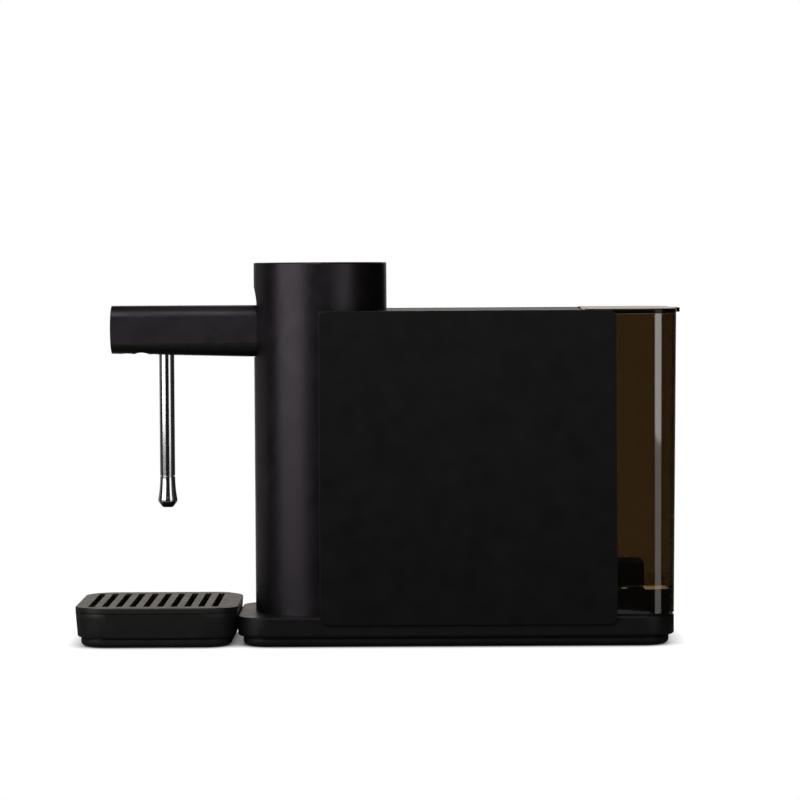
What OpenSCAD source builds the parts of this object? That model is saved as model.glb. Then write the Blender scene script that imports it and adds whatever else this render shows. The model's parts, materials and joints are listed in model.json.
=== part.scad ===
// Pod coffee machine: a slim tower with a lifting brew lever and a drop spout, a flat-sided
// housing behind it, a smoked water tank at the rear and a separate drip tray at the front.
// X runs from the tray (front) to the tank (rear), Y across, Z up from the worktop.

/* [Overall] */
// Width across the base, the tray and the housing
body_w = 114; // [112:0.5:120]
// Corner radius of the base and the tray, seen from above
corner_r = 21; // [18:0.5:24]
// Wall of the moulded plastic covers
wall = 2.5; // [2:0.1:2.8]
// Air left between pieces that move past each other
gap = 0.3; // [0.25:0.05:0.4]
// Air left where one moving piece rests on another
seat_gap = 0.15; // [0.1:0.05:0.2]
// Radial clearance of a pin or a tube that runs in a bore
run_fit = 0.05; // [0.03:0.01:0.08]

/* [Base] */
// Length of the base
base_l = 284.1; // [278:0.1:292]
// Height of the deck of the base above the worktop
deck_z = 19.5; // [18:0.25:22]
// Height of the underside of the base above the worktop
base_z = 6.6; // [6:0.1:7.5]
// Height of the shadow gap between the plinth and the base
shadow_h = 1.1; // [0.4:0.1:1.5]
// How far the plinth stands back under the base and the tray
plinth_inset = 3.5; // [3:0.1:4.4]
// How far the shadow gap stands back under the base and the tray
shadow_inset = 5; // [4.6:0.1:6.5]
// Rounding of the lower edge of the plinth
plinth_round = 3; // [2:0.25:4]
// Rounding of the lower edge of the base and the tray
skirt_round = 1.8; // [1:0.1:2.2]
// Diameter of a rubber foot
foot_d = 16; // [12:0.5:18]
// Height at which the plinth clears the worktop
foot_show = 0.5; // [0.4:0.1:1]
// Diameter of the hole of the cord gland
cord_hole_d = 6.4; // [5.5:0.1:8]

/* [Tower] */
// Outer diameter of the tower
tower_d = 87.6; // [86:0.1:89]
// Height of the tower above the worktop
tower_h = 249; // [246:0.5:254]
// Distance of the tower's axis behind the front end of the base
tower_setback = 53.9; // [52:0.1:58]
// Wall of the tower's skin
tower_wall = 2.5; // [2:0.1:2.8]
// Width of the arched window that the lever comes out of
window_w = 28.9; // [28.5:0.1:30]
// Depth of the top of the arch below the tower's top
window_drop = 15.4; // [14.6:0.1:17]
// Air between the lever and the sill of the window
sill_air = 0.5; // [0.4:0.05:0.8]

/* [Housing] */
// Length of the housing behind the tower's axis
housing_l = 171.3; // [167:0.1:175]
// Height of the top of the housing
housing_z = 217.5; // [214:0.5:220]
// Length of a side panel
panel_l = 192.1; // [186:0.1:196]
// Thickness of a side panel
panel_t = 2; // [1.5:0.1:2.5]
// How far a side panel reaches below the deck of the base
panel_lap = 5; // [3:0.25:6.5]
// Corner radius of a side panel
panel_r = 5; // [3:0.25:8]
// How far a side panel stands above the housing's top
panel_proud = 0.3; // [0.1:0.1:0.6]

/* [Brew lever] */
// Reach of the lever in front of the tower's axis
arm_reach = 137.9; // [134:0.1:144]
// Width of the lever
arm_w = 27; // [26:0.1:27.4]
// Depth of the top of the lever below the tower's top
arm_drop = 27.9; // [27.4:0.1:29]
// Height of the lever at its free end
arm_h_front = 31.4; // [30:0.1:32]
// Height of the lever where it enters the tower
arm_h_rear = 33.8; // [32.5:0.1:34]
// Height of the seam between the lever's halves above the underside at the free end
seam_h = 6.8; // [5.5:0.1:8.5]
// Corner rounding of the lever
arm_round = 7; // [5:0.25:7.5]
// Wall of the lever's halves
arm_wall = 2.2; // [1.8:0.1:2.4]
// Depth of the deeper finger scallop under the free end
finger_depth = 1.2; // [0.5:0.05:1.3]
// Depth of the lever's hinge pin below the lever's top
pivot_drop = 12.6; // [12.1:0.1:13]
// Distance of the hinge pin in front of the tower's axis
pivot_reach = 33.2; // [33:0.05:33.4]
// Distance from the hinge pin to the drive pin
drive_arm = 13; // [12.8:0.05:13.2]
// Angle through which the lever lifts
lever_lift = 32; // [26:1:32]
// Diameter of the hinge pin
lever_pin_d = 3.8; // [3.4:0.1:4]
// Diameter of the drive pin
drive_pin_d = 3.2; // [2.8:0.1:3.4]

/* [Spout] */
// Distance of the spout behind the free end of the lever
spout_setback = 36.3; // [33:0.1:42]
// Diameter of the spout tube
spout_d = 10; // [9.5:0.1:10.5]
// Wall of the spout tube
spout_wall = 0.9; // [0.7:0.05:1]
// Height of the joint between the tube and the pull-down end
spout_joint_z = 118.7; // [114:0.1:124]
// Height of the tip of the spout
spout_tip_z = 88; // [84:0.5:91]
// Largest diameter of the flared end
flare_d = 12.9; // [12.2:0.1:14]
// Travel of the pull-down end
spout_travel = 25; // [15:1:30]

/* [Pod chamber] */
// Diameter of a pod's flange
pod_flange_d = 37; // [36.5:0.1:37.5]
// Diameter of a pod's body under the flange
pod_body_d = 30; // [29.4:0.1:30.2]
// Depth of the closed pod holder's top below the tower's top
holder_drop = 24.5; // [24.2:0.1:25]
// Depth of the pod cup under the flange seat
cup_depth = 28.4; // [27.5:0.1:29]
// Diameter of a guide rod
rod_d = 5; // [4.5:0.1:5.4]
// Distance of a guide rod from the tower's axis
rod_y = 26; // [25.5:0.1:27]

/* [Hatch and dial] */
// Depth of the hatch below the tower's top
hatch_drop = 3.3; // [2.9:0.1:3.8]
// Thickness of the hatch
hatch_t = 3; // [2.8:0.1:3.2]
// Distance of the hatch's hinge behind the tower's axis
hatch_reach = 36.5; // [36:0.1:36.8]
// Diameter of the dial
dial_d = 34; // [30:0.5:38]
// Depth of the top of the dial below the tower's top
dial_drop = 0.3; // [0.1:0.1:0.5]
// Travel of the dial when it is pressed
dial_press = 0.8; // [0.5:0.1:0.9]
// Number of flutes round the dial
dial_flutes = 36; // [24:1:48]

/* [Water tank] */
// Corner radius of the tank's rim, seen from above
tank_corner_r = 18; // [16:0.5:21]
// Wall of the tank
tank_wall = 2.2; // [1.8:0.1:2.6]
// Depth of the tank's rim below the housing's top
rim_drop = 2.5; // [1.5:0.1:4]
// Air between the tank's lower edge and the deck of the base
tank_air = 1.5; // [0.8:0.1:3]
// Height of the tank's floor above the deck of the base
tank_floor_h = 19.4; // [18.5:0.1:21]
// How much wider the rim is than the foot of the tank, each side
tank_flare = 2; // [1.5:0.1:3]
// Depth of the full mark, a ledge inside the tank, below its rim
mark_drop = 16.5; // [12:0.5:28]
// Thickness of the tank's lid
lid_t = 3.2; // [2.8:0.1:3.4]
// How far the finger tab stands out behind the lid
lid_tab = 4; // [3:0.25:7]

/* [Drip tray] */
// Length of the drip tray
tray_l = 106; // [103:0.25:109]
// Height of the cup rest, the top of the grille
tray_top = 26.2; // [25:0.1:28.5]
// Height of the grille above the rim of the bowl
grille_h = 3.75; // [3:0.05:4.5]
// How much narrower the drip tray is at its lower edge, each side
tray_draft = 1.3; // [0.5:0.1:2]
// Wall of the drip tray
tray_wall = 2.2; // [1.8:0.1:2.6]
// Number of slots in the grille
slot_count = 10; // [6:1:10]
// Width of a slot
slot_w = 4.3; // [3:0.1:4.8]
// Distance from slot to slot
slot_pitch = 8.93; // [8:0.01:9]
// Length of a slot
slot_l = 90; // [76:0.5:92]
// Distance of the first slot's middle line from the tray's front end
slot_first = 10.9; // [9.5:0.1:12]

/* [Hidden] */
$fn = 64;

// Air between the housing and the tank
tank_gap = 1.1;

// Stations along X, worked out so that the origin is midway between the two ends
total_l = tray_l + base_l + tank_flare + lid_tab;
x_tray = -total_l / 2;
x_base = x_tray + tray_l;
tray_end = x_base - gap;
x_rear = x_base + base_l;
x_tower = x_base + tower_setback;
x_house = x_tower + housing_l;
x_tank = x_house + tank_gap;
x_arm = x_tower - arm_reach;
x_spout = x_arm + spout_setback;
x_pivot = x_tower - pivot_reach;
x_hatch = x_tower + hatch_reach;
tower_r = tower_d / 2;
bore_r = tower_r - tower_wall;
inner_r = bore_r - gap;

// Heights, worked out from the deck, the tower's top and the housing's top
plinth_z = base_z - shadow_h;
panel_z = deck_z - panel_lap;
window_top = tower_h - window_drop;
arm_top = tower_h - arm_drop;
arm_low_front = arm_top - arm_h_front;
arm_low_rear = arm_top - arm_h_rear;
arm_seam = arm_low_front + seam_h;
window_sill = arm_low_rear - sill_air;
pivot_z = arm_top - pivot_drop;
holder_top = tower_h - holder_drop;
hatch_top = tower_h - hatch_drop;
dial_top = tower_h - dial_drop;
tank_rim = housing_z - rim_drop;
tank_mark = tank_rim - mark_drop;
tank_low = deck_z + tank_air;
tank_floor = deck_z + tank_floor_h;
tray_rim = tray_top - grille_h;

// Sizes shared by the pieces of the base
boss_r = 4;
screw_r = 1.25;
screw_head_r = 3.3;
plate_floor = foot_show + 2.2;
screw_seat = foot_show + 1.2;
base_screw_at = [for (x = [x_base + 36, x_rear - 36], y = [-1, 1]) [x, y * (body_w / 2 - 22)]];
base_foot_at = [for (x = [x_base + 22, x_rear - 22], y = [-1, 1]) [x, y * (body_w / 2 - 24)]];
tray_foot_at = [for (x = [x_tray + 22, x_base - 22], y = [-1, 1]) [x, y * (body_w / 2 - 24)]];
foot_sink = 0.9;
gland_z = (base_z + deck_z) / 2;
gland_r = cord_hole_d / 2 + 1.4;

// Brew group
chassis_drop = 36;
chassis_t = 4;
ring_z = window_top + 0.9;
ring_top = hatch_top - hatch_t - 0.5;
ring_hole_r = 24.5;
cheek_y = arm_w / 2 + 1.1;
cheek_t = 3;
fork_y = arm_w / 2 - arm_wall;
tine_y = 7;
fork_z = pivot_z - 6;
fork_top = arm_top - arm_round - 0.1;
drive_tilt = lever_lift / 2;
drive_x = x_pivot + drive_arm * cos(drive_tilt);
drive_z = pivot_z + drive_arm * sin(drive_tilt);
drive_sway = drive_arm * (1 - cos(drive_tilt));
holder_r = 17.5;
rim_r = 21.5;
rim_t = 6;
seat_depth = 1.6;
cup_top = holder_top - seat_depth;
cup_floor = cup_top - cup_depth;
holder_low = cup_floor - 6;
chassis_z = holder_low - chassis_drop;
bush_r = 4;
ear_r = 5.5;
nipple_r = 2;
nipple_l = 6;
hose_r = 3;
hose_air = 2;
bend_r = 6;
hose_end_z = arm_low_rear + 6.3;
duct_z = arm_low_front + 12.5;
arm_rear = x_pivot + 3.8;
arm_dome_r = 165;
arm_scallops = [[11, 4.2, 0.35], [20.3, 5.2, 1], [28.4, 3.2, 0.25]];
arm_tilt = atan((arm_low_front - arm_low_rear) / (arm_reach - tower_r));
tube_top = arm_low_front + 8.5;
arm_screw_at = [[x_spout + 22, tine_y], [x_pivot - 12, -tine_y]];
screw_grip = 9;
inner_tube_r = spout_d / 2 - spout_wall - run_fit;

// Hatch: its hinge stands on top of it, so that it lifts clear of the tower's rim
hinge_r = 2.2;
hinge_z = tower_h - hinge_r - 0.4;
hatch_pin_r = 1.1;
knuckle_y = 7;
cap_y = 13;
hatch_edge_r = bore_r - 0.5;
hatch_chord = x_hatch - 5;
head_r = 20;
head_z = holder_top + 2;
dish_depth = 0.8;
core_r = 5;
spigot_r = 3;
spigot_z = dial_top - 1.8;

// Rear of the machine
pump_z = deck_z + 30;
pump_r = 17;
pump_x = x_tower + tower_r + 25;
pump_l = 58;
nozzle_l = 6;
meter_r = 12;
meter_half = 7;
meter_x = x_house - meter_r - 7;
heater_x = pump_x;
heater_l = 80;
heater_w = 48;
heater_z = deck_z + 83;
heater_h = 32;
lug_r = 6;
post_r = 4;
post_y = heater_w / 2 + 5;
feed_bend_r = 8;
hot_z = housing_z - 25;
supply_z = deck_z + 8;
board_gap = 5;
board_t = 1.6;
board_w = 92;
board_h = 136;
board_z = deck_z + 45;
x_valve = x_tank + 22;
tank_foot_r = tank_corner_r - tank_flare;
pedestal_gap = 0.5;
lid_z = tank_rim + seat_gap;
lid_axis_z = lid_z + lid_t / 2;
lid_axis_x = x_tank + 0.6 + lid_t / 2;
lid_ear = 4;
lid_pin_r = 0.9;
lid_side = body_w / 2 - 1;
tab_w = 32;
tab_r = 4;
tab_z = lid_z + 0.3;

// ---------- shared shapes ----------

// Half-section of a slab: it reaches r outward and h up, with rounded lower and upper edges
module edge_profile(r, h, low, high) {
    translate([0, low]) square([r, h - low - high]);
    square([r - low, h - high]);
    translate([0, low]) square([r - high, h - low]);
    translate([r - low, low]) intersection() {
        circle(low);
        translate([0, -low]) square(low);
    }
    translate([r - high, h - high]) intersection() {
        circle(high);
        square(high);
    }
}

// Sweeps the half-section given as child round a rectangle with rounded corners.
// The child starts on the line of the corner centres and spans z0 to z1.
module round_box(x0, x1, w, r, z0, z1) {
    y = w / 2 - r;
    for (c = [[0, x1 - r, y], [90, x0 + r, y], [180, x0 + r, -y], [270, x1 - r, -y]])
        translate([c[1], c[2], 0]) rotate([0, 0, c[0]]) rotate_extrude(angle = 90) children();
    translate([x0 + r, 0, 0]) rotate([90, 0, 90]) linear_extrude(x1 - x0 - 2 * r)
        for (m = [0, 1]) mirror([m, 0]) translate([y, 0]) children();
    translate([0, y, 0]) rotate([90, 0, 0]) linear_extrude(2 * y) {
        translate([x1 - r, 0]) children();
        translate([x0 + r, 0]) mirror([1, 0]) children();
    }
    lap = r / 4;
    translate([x0 + r - lap, -y - lap, z0]) cube([x1 - x0 - 2 * (r - lap), 2 * (y + lap), z1 - z0]);
}

// The same with straight sides: inset from the given outline
module plan_box(x0, x1, w, r, z0, z1, inset = 0)
    translate([0, 0, z0]) linear_extrude(z1 - z0) {
        translate([x0 + r, inset - w / 2]) square([x1 - x0 - 2 * r, w - 2 * inset]);
        translate([x0 + inset, r - w / 2]) square([x1 - x0 - 2 * inset, w - 2 * r]);
        for (x = [x0 + r, x1 - r], y = [r - w / 2, w / 2 - r])
            translate([x, y]) circle(r - inset);
    }

// Tube or rod along Z between two heights
module tube_z(x, y, z0, z1, r, bore = 0)
    translate([x, y, z0]) difference() {
        cylinder(r = r, h = z1 - z0);
        if (bore > 0) translate([0, 0, -1]) cylinder(r = bore, h = z1 - z0 + 2);
    }

// Tube or rod along X between two stations
module tube_x(x0, x1, y, z, r, bore = 0)
    translate([x0, y, z]) rotate([0, 90, 0]) difference() {
        cylinder(r = r, h = x1 - x0);
        if (bore > 0) translate([0, 0, -1]) cylinder(r = bore, h = x1 - x0 + 2);
    }

// Rod along Y, centred on the middle plane
module rod_y(x, z, half, r)
    translate([x, -half, z]) rotate([-90, 0, 0]) cylinder(r = r, h = 2 * half);

// Quarter bend of a tube in the X-Z plane round a centre, from one angle to the next 90 degrees
module bend(x, z, from, radius, r, bore)
    translate([x, 0, z]) rotate([90, 0, 0]) rotate([0, 0, from])
        rotate_extrude(angle = 90) translate([radius, 0]) difference() {
            circle(r);
            circle(bore);
        }

module at(points) for (p = points) translate([p[0], p[1], 0]) children();

// Slab on its own plinth, as the base and the tray share it
module plinth(x0, x1, floor_z) difference() {
    union() {
        translate([0, 0, foot_show])
            round_box(x0 + plinth_inset, x1 - plinth_inset, body_w - 2 * plinth_inset,
                corner_r - plinth_inset, 0, plinth_z - foot_show)
                edge_profile(corner_r - plinth_inset, plinth_z - foot_show, plinth_round, 0.3);
        plan_box(x0, x1, body_w, corner_r, plinth_z - 1, base_z, shadow_inset);
    }
    plan_box(x0, x1, body_w, corner_r, floor_z, base_z + 1, shadow_inset + wall);
}

// ---------- base ----------

module base_housing() color([0.1, 0.1, 0.1]) difference() {
    union() {
        difference() {
            translate([0, 0, base_z])
                round_box(x_base, x_rear, body_w, corner_r, 0, deck_z - base_z)
                    edge_profile(corner_r, deck_z - base_z, skirt_round, 0.8);
            plan_box(x_base, x_rear, body_w, corner_r, base_z - 1, deck_z - wall, wall);
        }
        at(base_screw_at) tube_z(0, 0, plate_floor, deck_z - wall + 0.5, boss_r);
    }
    at(base_screw_at) tube_z(0, 0, plate_floor - 1, deck_z - wall - 0.5, screw_r + 0.1);
    tube_x(x_rear - wall - 1, x_rear + 1, 0, gland_z, gland_r);
}

module base_plate() color([0.08, 0.08, 0.08]) difference() {
    plinth(x_base, x_rear, plate_floor);
    at(base_screw_at) {
        tube_z(0, 0, 0, plate_floor + 1, screw_r + 0.4);
        tube_z(0, 0, 0, screw_seat, screw_head_r + 0.4);
    }
    at(base_foot_at) tube_z(0, 0, 0, foot_show + foot_sink, foot_d / 2 + 0.1);
}

module base_feet() color([0.05, 0.05, 0.05])
    at(base_foot_at) tube_z(0, 0, 0, foot_show + foot_sink, foot_d / 2);

module base_screws() color([0.6, 0.6, 0.62]) at(base_screw_at) difference() {
    union() {
        tube_z(0, 0, screw_seat - 1.1, screw_seat, screw_head_r);
        tube_z(0, 0, screw_seat, deck_z - wall - 1.5, screw_r);
    }
    rotate([0, 0, 30]) translate([0, 0, screw_seat - 2]) cylinder(r = 1.4, h = 1.5, $fn = 6);
}

module cord_gland() color([0.06, 0.06, 0.06]) difference() {
    union() {
        tube_x(x_rear - wall, x_rear, 0, gland_z, gland_r);
        tube_x(x_rear, x_rear + 1.2, 0, gland_z, min(gland_r + 1, gland_z - base_z));
    }
    tube_x(x_rear - wall - 1, x_rear + 3, 0, gland_z, cord_hole_d / 2);
}

// ---------- tower ----------

// Outline of the arched window, in the Y-Z plane
module window_shape() {
    arch_r = window_w / 2;
    translate([-arch_r, window_sill]) square([window_w, window_top - arch_r - window_sill]);
    translate([0, window_top - arch_r]) circle(arch_r);
}

module tower_shell() color([0.15, 0.13, 0.15]) difference() {
    rim = 0.8;
    h = tower_h - deck_z;
    translate([x_tower, 0, deck_z]) rotate_extrude() translate([bore_r, 0]) {
        square([tower_wall, h - rim]);
        translate([rim, h - rim]) circle(rim);
        translate([tower_wall - rim, h - rim]) circle(rim);
        translate([rim, h - rim]) square([tower_wall - 2 * rim, rim]);
    }
    translate([x_tower - tower_r - 1, 0, 0]) rotate([90, 0, 90])
        linear_extrude(tower_r - 10) window_shape();
    tube_x(x_tower + bore_r - 6, x_tower + tower_r + 1, 0, hot_z, hose_r + 1.5);
}

module tower_chassis() color([0.2, 0.2, 0.2]) difference() {
    union() {
        tube_z(x_tower, 0, deck_z, chassis_z + chassis_t, inner_r, inner_r - wall);
        tube_z(x_tower, 0, chassis_z, chassis_z + chassis_t, inner_r - wall / 2);
    }
    for (y = [-rod_y, rod_y]) tube_z(x_tower, y, chassis_z + 1, chassis_z + chassis_t + 1, rod_d / 2);
}

// Cheek that carries the lever's hinge pin, in the X-Z plane
module cheek_shape() difference() {
    union() {
        translate([x_pivot, pivot_z]) circle(5);
        translate([x_pivot - 5, pivot_z]) square([13, ring_z - pivot_z + 1]);
    }
    translate([x_pivot, pivot_z]) circle(lever_pin_d / 2);
}

module brew_frame() color([0.35, 0.35, 0.36]) difference() {
    union() {
        tube_z(x_tower, 0, ring_z, ring_top, inner_r, ring_hole_r);
        intersection() {
            tube_z(x_tower, 0, 0, tower_h, inner_r);
            for (y = [cheek_y, -cheek_y - cheek_t]) translate([0, y + cheek_t, 0])
                rotate([90, 0, 0]) linear_extrude(cheek_t) cheek_shape();
        }
    }
    for (y = [-rod_y, rod_y]) tube_z(x_tower, y, ring_z - 1, ring_z + 4, rod_d / 2);
}

module guide_rods() color([0.75, 0.75, 0.77])
    for (y = [-rod_y, rod_y]) tube_z(x_tower, y, chassis_z + 1, ring_z + 4, rod_d / 2);

module lever_pin() color([0.7, 0.7, 0.72])
    rod_y(x_pivot, pivot_z, cheek_y + cheek_t, lever_pin_d / 2);

// Fixed rear part of the tower's cover, with a lug for the hinge pin each side of the hatch's knuckle
module hatch_rear_cap() color([0.12, 0.12, 0.12]) difference() {
    intersection() {
        tube_z(x_tower, 0, ring_top, tower_h, hatch_edge_r);
        union() {
            translate([hatch_chord + 0.4, -tower_r, ring_top])
                cube([tower_r, tower_d, hatch_top - ring_top]);
            translate([x_hatch - hinge_r, -cap_y, ring_top])
                cube([2 * hinge_r, 2 * cap_y, hinge_z - ring_top]);
            rod_y(x_hatch, hinge_z, cap_y, hinge_r);
        }
    }
    translate([hatch_chord, -knuckle_y - gap, 0])
        cube([x_hatch + hinge_r + 0.4 - hatch_chord, 2 * (knuckle_y + gap), tower_h]);
    rod_y(x_hatch, hinge_z, cap_y, hatch_pin_r);
}

module hatch_pin() color([0.7, 0.7, 0.72]) rod_y(x_hatch, hinge_z, cap_y, hatch_pin_r);

// ---------- housing ----------

module body_housing() color([0.12, 0.12, 0.12]) difference() {
    union() {
        difference() {
            translate([x_tower, -body_w / 2, deck_z])
                cube([housing_l, body_w, housing_z - deck_z]);
            translate([x_tower + wall, wall - body_w / 2, deck_z - 1])
                cube([housing_l - 2 * wall, body_w - 2 * wall, housing_z - deck_z - wall + 1]);
        }
        for (y = [-40, 40], z = [board_z + 8, board_z + board_h - 8])
            tube_x(x_house - wall - board_gap, x_house - 1, y, z, 3);
    }
    tube_z(x_tower, 0, 0, tower_h, tower_r + 0.2);
    tube_x(x_house - wall - 1, x_house + 1, 0, supply_z, hose_r + 0.5);
}

module side_panel() translate([x_tower + gap, -body_w / 2, (panel_z + housing_z + panel_proud) / 2])
    rotate([90, 0, 0]) round_box(0, panel_l, housing_z + panel_proud - panel_z, panel_r, 0, panel_t)
        edge_profile(panel_r, panel_t, 0.1, 0.5);

module side_panel_near() color([0.08, 0.08, 0.09]) side_panel();
module side_panel_far() color([0.08, 0.08, 0.09]) mirror([0, 1, 0]) side_panel();

// ---------- water supply and heating ----------

module pump() color([0.55, 0.5, 0.42]) {
    tube_x(pump_x, pump_x + pump_l, 0, pump_z, pump_r);
    tube_x(pump_x + pump_l, pump_x + pump_l + nozzle_l, 0, pump_z, nipple_r);
    tube_x(pump_x - nozzle_l, pump_x, 0, pump_z, nipple_r);
}

module pump_saddles() color([0.1, 0.1, 0.1]) difference() {
    saddle_w = 6;
    half = pump_r - 3;
    for (x = [pump_x + saddle_w, pump_x + pump_l - 2 * saddle_w])
        translate([x, -half, deck_z]) cube([saddle_w, 2 * half, pump_z - deck_z]);
    tube_x(pump_x, pump_x + pump_l, 0, pump_z, pump_r);
}

module flow_meter() color([0.85, 0.85, 0.82]) {
    tube_z(meter_x, 0, pump_z - meter_half, pump_z + meter_half, meter_r);
    translate([meter_x - meter_r / 2, meter_r * 2 / 3, deck_z])
        cube([meter_r, meter_r / 3, pump_z - deck_z]);
}

module suction_hose() color([0.8, 0.8, 0.8]) {
    tube_z(x_valve, 0, supply_z + bend_r, tank_floor - tank_wall - 2, hose_r, nipple_r);
    bend(x_valve - bend_r, supply_z + bend_r, 270, bend_r, hose_r, nipple_r);
    tube_x(meter_x + bend_r, x_valve - bend_r, 0, supply_z, hose_r, nipple_r);
    bend(meter_x + bend_r, supply_z + bend_r, 180, bend_r, hose_r, nipple_r);
    tube_z(meter_x, 0, supply_z + bend_r, pump_z - meter_half, hose_r, nipple_r);
}

module pump_hose() color([0.8, 0.8, 0.8])
    tube_x(pump_x + pump_l, meter_x - meter_r, 0, pump_z, hose_r, nipple_r);

module feed_hose() color([0.8, 0.8, 0.8]) {
    x = pump_x - nozzle_l;
    low = pump_z + feed_bend_r;
    high = heater_z + heater_h / 2 - feed_bend_r;
    tube_x(x, pump_x, 0, pump_z, hose_r, nipple_r);
    bend(x, low, 180, feed_bend_r, hose_r, nipple_r);
    tube_z(x - feed_bend_r, 0, low, high, hose_r, nipple_r);
    bend(x, high, 90, feed_bend_r, hose_r, nipple_r);
    tube_x(x, heater_x, 0, high + feed_bend_r, hose_r, nipple_r);
}

module heater_corners() for (x = [heater_x + lug_r, heater_x + heater_l - lug_r], side = [-1, 1])
    translate([x, side * post_y, 0]) mirror([0, side > 0 ? 1 : 0, 0]) children();

// Cast block with cooling grooves across its top and a lug over each post
module thermoblock() color([0.7, 0.7, 0.72]) difference() {
    root = heater_w / 6;
    groove_w = 4;
    groove_z = heater_z + heater_h - 8;
    union() {
        translate([heater_x, -heater_w / 2, heater_z]) cube([heater_l, heater_w, heater_h]);
        heater_corners() {
            tube_z(0, 0, heater_z, heater_z + lug_r, lug_r);
            translate([-lug_r, 0, heater_z]) cube([2 * lug_r, root, lug_r]);
        }
    }
    for (i = [1:6]) translate([heater_x + i * heater_l / 7 - groove_w / 2, -heater_w, groove_z])
        cube([groove_w, 2 * heater_w, heater_h]);
}

module heater_posts() color([0.2, 0.2, 0.2]) heater_corners() tube_z(0, 0, deck_z, heater_z, post_r);

module hot_hose() color([0.85, 0.85, 0.85]) {
    riser = heater_x + heater_l / 7 / 2;
    ring_x = x_tower + (ring_hole_r + inner_r) / 2 - 2.4;
    tube_z(riser, 0, heater_z + heater_h, hot_z - bend_r, hose_r, nipple_r);
    bend(riser - bend_r, hot_z - bend_r, 0, bend_r, hose_r, nipple_r);
    tube_x(ring_x + bend_r, riser - bend_r, 0, hot_z, hose_r, nipple_r);
    bend(ring_x + bend_r, hot_z + bend_r, 180, bend_r, hose_r, nipple_r);
    tube_z(ring_x, 0, hot_z + bend_r, ring_z, hose_r, nipple_r);
}

// Board on the housing's rear wall, with a transformer, a relay, a chip and a capacitor
module control_board() color([0.1, 0.35, 0.15])
    translate([x_house - wall - board_gap - board_t, 0, board_z]) {
        translate([0, -board_w / 2, 0]) cube([board_t, board_w, board_h]);
        translate([-14, -38, board_h - 48]) cube([14, 28, 34]);
        translate([-10, 8, board_h - 30]) cube([10, 24, 20]);
        translate([-3, -20, board_h - 78]) cube([3, 16, 12]);
        tube_x(-16, 0, 24, board_h - 42, 7);
    }

// ---------- brew lever ----------

// Section across the lever's upper half, inset from its outside
module arm_upper_section(inset) {
    r = arm_round - inset;
    half = arm_w / 2 - inset;
    flat = arm_w / 2 - arm_round;
    translate([-half, arm_seam - 1]) square([2 * half, arm_top - arm_round - arm_seam + 1]);
    translate([-flat, arm_seam - 1]) square([2 * flat, arm_top - inset - arm_seam + 1]);
    for (y = [-flat, flat]) translate([y, arm_top - arm_round]) circle(r);
}

// Section across the lever's lower half, measured up from its underside
module arm_lower_section(inset) {
    r = arm_round - inset;
    half = arm_w / 2 - inset;
    flat = arm_w / 2 - arm_round;
    translate([-half, arm_round]) square([2 * half, 8]);
    translate([-flat, inset]) square([2 * flat, arm_round + 8 - inset]);
    for (y = [-flat, flat]) translate([y, arm_round]) circle(r);
}

// Everything between the domed free end, inset by the given amount, and the rear end,
// which a hollow (inset above 0) cuts right through
module arm_reach_zone(inset, z0, z1) intersection() {
    rod_y(x_arm + arm_dome_r, (arm_top + arm_low_front) / 2, arm_w, arm_dome_r - inset, $fn = 240);
    translate([x_arm - 1, -arm_w, z0])
        cube([arm_rear - x_arm + (inset > 0 ? 2 : 1), 2 * arm_w, z1 - z0]);
}

module arm_upper(inset) intersection() {
    translate([x_arm - 1, 0, 0]) rotate([90, 0, 90])
        linear_extrude(arm_rear - x_arm + 2 + inset) arm_upper_section(inset);
    arm_reach_zone(inset, arm_seam - (inset > 0 ? 0.5 : 0), arm_top + 1);
}

module arm_lower(inset) intersection() {
    translate([x_arm, 0, arm_low_front]) rotate([0, arm_tilt, 0]) translate([-5, 0, 0])
        rotate([90, 0, 90]) linear_extrude(arm_rear - x_arm + 12) arm_lower_section(inset);
    arm_reach_zone(inset, arm_low_rear - 5, arm_seam + (inset > 0 ? 0.5 : 0));
}

module arm_shell() color([0.14, 0.13, 0.15]) difference() {
    union() {
        difference() {
            arm_upper(0);
            arm_upper(arm_wall);
        }
        tube_z(arm_screw_at[0][0], arm_screw_at[0][1], arm_seam - 3, arm_top - arm_wall / 2, 3);
    }
    tube_z(arm_screw_at[0][0], arm_screw_at[0][1], arm_seam - 4, arm_seam + screw_grip + 1, screw_r);
    rod_y(x_pivot, pivot_z, arm_w, lever_pin_d / 2 + 1.3);
}

// Shallow round scallops for the fingers, cut up into the underside
module finger_scallops() for (s = arm_scallops) {
    depth = s[2] * finger_depth;
    r = (s[1] * s[1] + depth * depth) / (2 * depth);
    rod_y(x_arm + s[0], arm_low_front - s[0] * tan(arm_tilt) + depth - r, arm_w, r);
}

module arm_underside() color([0.1, 0.09, 0.1]) difference() {
    union() {
        difference() {
            arm_lower(0);
            arm_lower(arm_wall);
        }
        for (i = [0, 1]) intersection() {
            arm_lower(0);
            tube_z(arm_screw_at[i][0], arm_screw_at[i][1], 0, i == 0 ? arm_seam - 3 : arm_seam, 3.6);
        }
        tube_z(arm_screw_at[1][0], arm_screw_at[1][1], arm_low_front, fork_z, 3.2);
    }
    finger_scallops();
    tube_z(x_spout, 0, 0, tower_h, spout_d / 2);
    at(arm_screw_at) {
        tube_z(0, 0, 0, tower_h, screw_r + 0.3);
        tube_z(0, 0, 0, arm_low_rear + 2.4, 2.4);
    }
}

module arm_screws() color([0.6, 0.6, 0.62]) at(arm_screw_at) {
    tube_z(0, 0, arm_low_rear + 1, arm_low_rear + 2.4, 2.3);
    tube_z(0, 0, arm_low_rear + 2.4, arm_seam + screw_grip, screw_r);
}

// Side view of a tine: it carries the drive pin behind the hinge pin
module tine_shape() {
    translate([x_pivot, pivot_z]) rotate(drive_tilt) translate([-6, -3.6]) square([6 + drive_arm, 7.2]);
    translate([drive_x, drive_z]) circle(3.6);
}

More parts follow.
